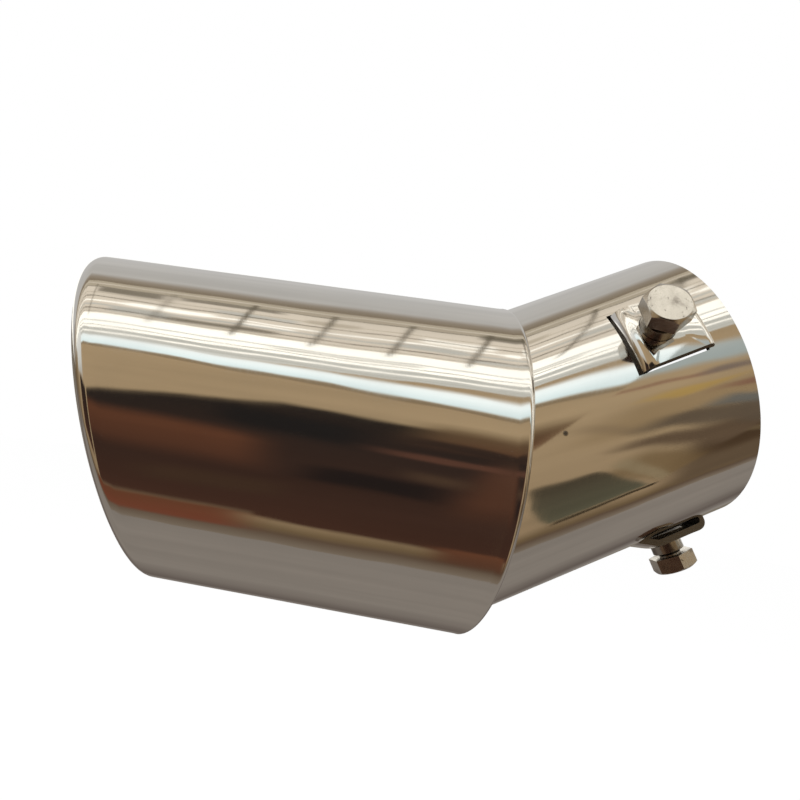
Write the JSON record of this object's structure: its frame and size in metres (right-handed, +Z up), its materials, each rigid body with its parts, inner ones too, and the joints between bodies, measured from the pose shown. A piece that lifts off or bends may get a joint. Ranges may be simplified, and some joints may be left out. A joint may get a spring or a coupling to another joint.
{
  "type": "exhaust tip",
  "caption": "Bent clamp-on exhaust tip: tapered round shell with a slanted rolled outlet and an angled inlet pipe with clamp bolts under lanced tongues.",
  "frame": {"origin": "on the inlet pipe's axis, level with the shorter side of its slanted mouth", "axes": "+X along the shell's axis from the outlet to the back, +Z up with the shell level, +Y away from the side that has the upper clamp"},
  "size_m": [0.1645, 0.084, 0.1048],
  "materials": {
    "polished_steel": "polished stainless sheet",
    "plated_steel": "bright zinc plated, dulled"
  },
  "bodies": {
    "root": {"outer_shell": "polished_steel", "inlet_pipe": "polished_steel", "upper_nut": "plated_steel", "lower_nut": "plated_steel", "upper_bolt": "plated_steel", "lower_bolt": "plated_steel"}
  },
  "joints": []
}
